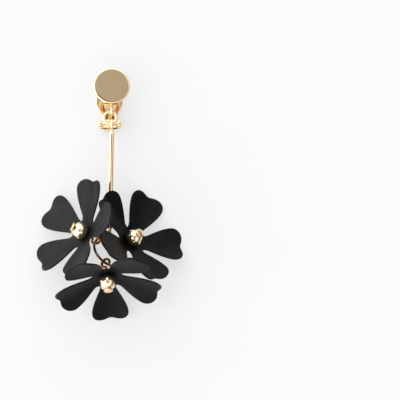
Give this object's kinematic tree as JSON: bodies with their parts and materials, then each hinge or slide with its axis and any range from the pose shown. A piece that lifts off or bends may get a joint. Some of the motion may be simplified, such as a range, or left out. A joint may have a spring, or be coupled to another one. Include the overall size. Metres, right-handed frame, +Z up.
{
  "type": "clip on earring",
  "caption": "Clip on drop earring with a round clip, a straight bar and a cluster of painted petal flowers with ball middles.",
  "frame": {"origin": "on the surface it lies on, under the middle of the whole", "axes": "+X to the right of the picture, +Y from the flowers to the clip, +Z up from the surface"},
  "size_m": [0.0368, 0.0632, 0.0228],
  "materials": {
    "gold_plate": "polished",
    "black_paint": "matte"
  },
  "bodies": {
    "earring": {"clip_frame": "gold_plate", "hinge_pin": "gold_plate", "clip_ring": "gold_plate", "bar": "gold_plate", "cluster_ring": "gold_plate", "petals_left": "black_paint", "petals_right": "black_paint", "petals_bottom": "black_paint", "ball_left": "gold_plate", "ball_right": "gold_plate", "ball_bottom": "gold_plate", "head_pin_left": "gold_plate", "head_pin_right": "gold_plate", "head_pin_bottom": "gold_plate"},
    "paddle": {"paddle": "gold_plate"}
  },
  "joints": [
    {"name": "paddle_hinge", "type": "hinge", "parent": "earring", "child": "paddle", "pos_m": [0.00011, 0.01833, 0.00115], "axis": [-1, 0, 0], "range_deg": [0, 90]}
  ]
}
